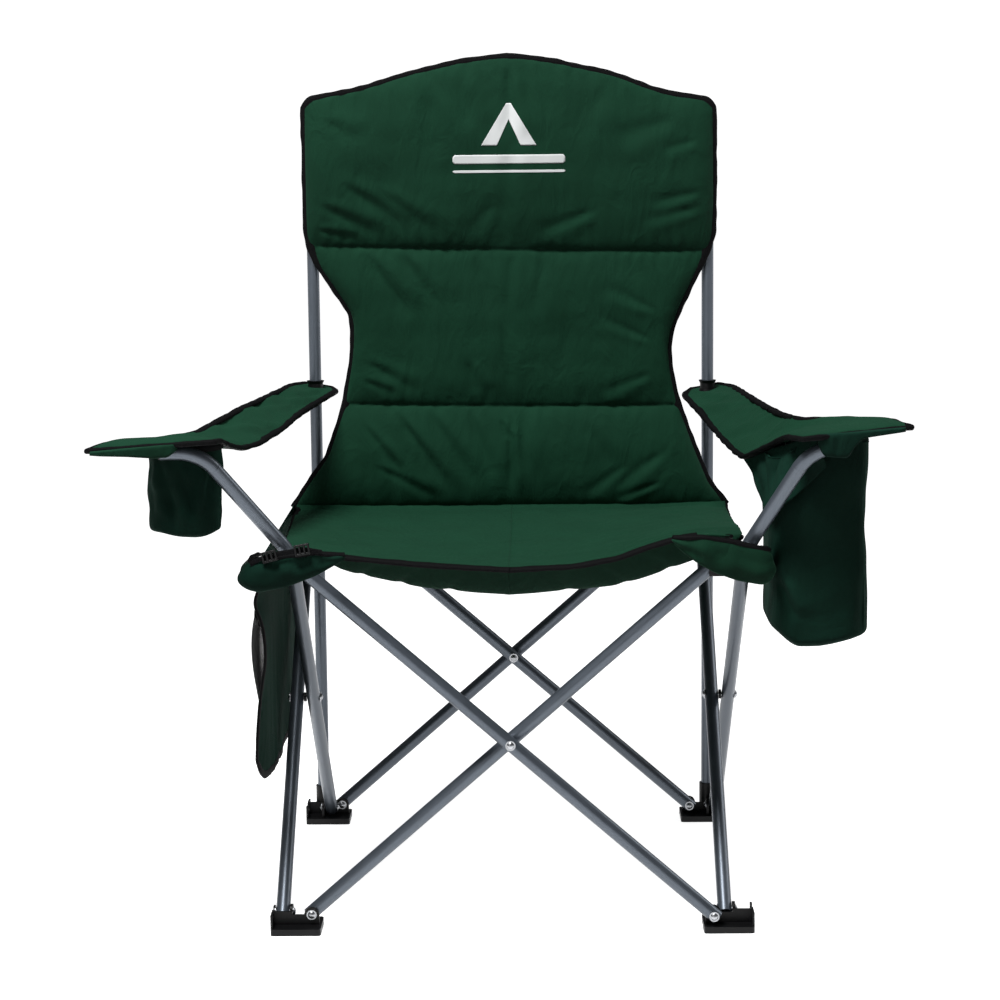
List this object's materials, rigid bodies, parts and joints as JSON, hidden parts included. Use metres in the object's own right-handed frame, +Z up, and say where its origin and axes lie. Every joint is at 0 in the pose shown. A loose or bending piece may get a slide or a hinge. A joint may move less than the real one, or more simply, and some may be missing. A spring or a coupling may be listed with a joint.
{
  "type": "folding camp chair",
  "caption": "Folding camp chair with a scissor frame of steel tube, a padded fabric seat, back and armrests, a cup holder, a cooler bag and a hanging organiser.",
  "frame": {"origin": "on the floor at the bottom centre of the whole chair, 25 mm in front of the middle of the four feet", "axes": "+Z up, the sitter faces -Y, +X to the right of a person looking at the front of the chair"},
  "size_m": [0.948, 0.64, 1.046],
  "materials": {
    "tube": "satin powder coat, dark blue grey",
    "plastic": "moulded, fine grain",
    "rivet": "zinc plated",
    "fabric": "plain-woven polyester with a slight sheen",
    "lining": "plain-woven polyester, in shade",
    "binding": "ribbed binding tape",
    "net": "open knitted net",
    "motif": "screen print"
  },
  "bodies": {
    "rear_left": {"foot_rear_left": "plastic", "foot_rivets_rear_left": "rivet", "back_post_left": "tube", "post_cap_left": "plastic", "back_panel": "fabric", "back_flare_left": "fabric", "back_flare_right": "fabric"},
    "rear_rising": {"rear_brace_rising": "tube", "rear_cross_rivet": "rivet", "rear_cross_spacer": "plastic"},
    "rear_falling": {"rear_brace_falling": "tube"},
    "rear_right": {"foot_rear_right": "plastic", "foot_rivets_rear_right": "rivet", "back_post_right": "tube", "post_cap_right": "plastic"},
    "slide_left": {"slider_left": "plastic", "slider_rivets_left": "rivet"},
    "slide_right": {"slider_right": "plastic", "slider_rivets_right": "rivet"},
    "arm_frame_left": {"side_tube_left": "tube", "arm_tube_left": "tube", "arm_plug_left": "plastic", "side_cross_rivet_left": "rivet", "side_cross_spacer_left": "plastic", "cup_holder": "lining"},
    "arm_frame_right": {"side_tube_right": "tube", "arm_tube_right": "tube", "arm_plug_right": "plastic", "side_cross_rivet_right": "rivet", "side_cross_spacer_right": "plastic", "cooler_bag": "lining", "cooler_lid": "fabric"},
    "strut_left": {"side_strut_left": "tube"},
    "strut_right": {"side_strut_right": "tube"},
    "front_left": {"foot_front_left": "plastic", "foot_rivets_front_left": "rivet"},
    "front_right": {"foot_front_right": "plastic", "foot_rivets_front_right": "rivet"},
    "corner_left": {"front_corner_left": "plastic", "corner_rivets_left": "rivet", "seat_pocket_left": "lining", "corner_buckle_left": "binding", "side_organiser": "lining", "organiser_net": "net"},
    "corner_right": {"front_corner_right": "plastic", "corner_rivets_right": "rivet", "seat_pocket_right": "lining"},
    "front_rising": {"front_brace_rising": "tube", "front_cross_rivet": "rivet", "front_cross_spacer": "plastic"},
    "front_falling": {"front_brace_falling": "tube"},
    "seat_half_left": {"seat_left": "fabric"},
    "seat_half_right": {"seat_right": "fabric"},
    "collar_left": {"arm_collar_left": "plastic"},
    "collar_right": {"arm_collar_right": "plastic"},
    "armrest_swing_left": {"armrest_left": "fabric"},
    "armrest_swing_right": {"armrest_right": "fabric"}
  },
  "joints": [
    {"name": "fold", "type": "hinge", "parent": "rear_left", "child": "rear_rising", "pos_m": [-0.24, 0.2885, 0.02], "axis": [0, -1, 0], "range_deg": [0, 42], "deforming": ["back_panel", "back_flare_left", "back_flare_right", "seat_left", "seat_right", "armrest_left", "armrest_right", "seat_pocket_left", "seat_pocket_right", "corner_buckle_left", "side_organiser", "organiser_net", "cup_holder", "cooler_bag", "cooler_lid"]},
    {"name": "rear_cross", "type": "hinge", "parent": "rear_rising", "child": "rear_falling", "pos_m": [0, 0.278, 0.2295], "axis": [0, 1, 0], "range_deg": [0, 84.02]},
    {"name": "rear_right_foot", "type": "hinge", "parent": "rear_falling", "child": "rear_right", "pos_m": [0.24, 0.2675, 0.02], "axis": [0, -1, 0], "range_deg": [0, 42.02]},
    {"name": "slider_right_pin", "type": "hinge", "parent": "rear_rising", "child": "slide_right", "pos_m": [0.24, 0.2885, 0.439], "axis": [0, 1, 0], "range_deg": [0, 42.02]},
    {"name": "slider_left_pin", "type": "hinge", "parent": "rear_falling", "child": "slide_left", "pos_m": [-0.24, 0.2675, 0.439], "axis": [0, -1, 0], "range_deg": [0, 42.02]},
    {"name": "left_rear_foot_pin", "type": "hinge", "parent": "rear_left", "child": "arm_frame_left", "pos_m": [-0.2545, 0.265, 0.02], "axis": [-1, 0, 0], "range_deg": [0, 42.02]},
    {"name": "left_cross", "type": "hinge", "parent": "arm_frame_left", "child": "strut_left", "pos_m": [-0.265, 0.025, 0.2295], "axis": [1, 0, 0], "range_deg": [0, 84.02]},
    {"name": "left_front_foot_pin", "type": "hinge", "parent": "strut_left", "child": "front_left", "pos_m": [-0.2755, -0.215, 0.02], "axis": [-1, 0, 0], "range_deg": [0, 42.02]},
    {"name": "left_corner_pin", "type": "hinge", "parent": "arm_frame_left", "child": "corner_left", "pos_m": [-0.2545, -0.215, 0.439], "axis": [1, 0, 0], "range_deg": [0, 42.02]},
    {"name": "right_rear_foot_pin", "type": "hinge", "parent": "rear_right", "child": "arm_frame_right", "pos_m": [0.2755, 0.265, 0.02], "axis": [-1, 0, 0], "range_deg": [0, 42.02]},
    {"name": "right_cross", "type": "hinge", "parent": "arm_frame_right", "child": "strut_right", "pos_m": [0.265, 0.025, 0.2295], "axis": [1, 0, 0], "range_deg": [0, 84.02]},
    {"name": "right_front_foot_pin", "type": "hinge", "parent": "strut_right", "child": "front_right", "pos_m": [0.2545, -0.215, 0.02], "axis": [-1, 0, 0], "range_deg": [0, 42.02]},
    {"name": "right_corner_pin", "type": "hinge", "parent": "arm_frame_right", "child": "corner_right", "pos_m": [0.2755, -0.215, 0.439], "axis": [1, 0, 0], "range_deg": [0, 42.02]},
    {"name": "front_left_foot", "type": "hinge", "parent": "front_left", "child": "front_rising", "pos_m": [-0.24, -0.2175, 0.02], "axis": [0, -1, 0], "range_deg": [0, 42.02]},
    {"name": "front_cross", "type": "hinge", "parent": "front_rising", "child": "front_falling", "pos_m": [0, -0.228, 0.2295], "axis": [0, 1, 0], "range_deg": [0, 84.02]},
    {"name": "seat_left_droop", "type": "hinge", "parent": "corner_left", "child": "seat_half_left", "pos_m": [-0.24, 0.025, 0.427], "axis": [0, 1, 0], "range_deg": [0, 80.87]},
    {"name": "seat_right_droop", "type": "hinge", "parent": "corner_right", "child": "seat_half_right", "pos_m": [0.24, 0.025, 0.427], "axis": [0, -1, 0], "range_deg": [0, 80.87]},
    {"name": "collar_left_slide", "type": "slide", "parent": "rear_left", "child": "collar_left", "axis": [0, 0, 1], "range_m": [0, 0.0955]},
    {"name": "armrest_left_lift", "type": "hinge", "parent": "collar_left", "child": "armrest_swing_left", "pos_m": [-0.266, 0.288, 0.601], "axis": [-1, 0, 0], "range_deg": [0, 62.89]},
    {"name": "collar_right_slide", "type": "slide", "parent": "rear_right", "child": "collar_right", "axis": [0, 0, 1], "range_m": [0, 0.0955]},
    {"name": "armrest_right_lift", "type": "hinge", "parent": "collar_right", "child": "armrest_swing_right", "pos_m": [0.266, 0.288, 0.601], "axis": [-1, 0, 0], "range_deg": [0, 62.89]}
  ],
  "couplings": [
    {"joint": "rear_cross", "follows": "fold", "ratio": 2},
    {"joint": "rear_right_foot", "follows": "fold", "ratio": 1},
    {"joint": "slider_right_pin", "follows": "fold", "ratio": 1},
    {"joint": "slider_left_pin", "follows": "fold", "ratio": 1},
    {"joint": "left_rear_foot_pin", "follows": "fold", "ratio": 1},
    {"joint": "left_cross", "follows": "fold", "ratio": 2},
    {"joint": "left_front_foot_pin", "follows": "fold", "ratio": 1},
    {"joint": "left_corner_pin", "follows": "fold", "ratio": 1},
    {"joint": "right_rear_foot_pin", "follows": "fold", "ratio": 1},
    {"joint": "right_cross", "follows": "fold", "ratio": 2},
    {"joint": "right_front_foot_pin", "follows": "fold", "ratio": 1},
    {"joint": "right_corner_pin", "follows": "fold", "ratio": 1},
    {"joint": "front_left_foot", "follows": "fold", "ratio": 1},
    {"joint": "front_cross", "follows": "fold", "ratio": 2},
    {"joint": "seat_left_droop", "follows": "fold", "ratio": 1.925},
    {"joint": "seat_right_droop", "follows": "fold", "ratio": 1.925},
    {"joint": "collar_left_slide", "follows": "fold", "m_per_rad": 0.1296},
    {"joint": "armrest_left_lift", "follows": "fold", "ratio": 1.497},
    {"joint": "collar_right_slide", "follows": "fold", "m_per_rad": 0.1296},
    {"joint": "armrest_right_lift", "follows": "fold", "ratio": 1.497}
  ]
}
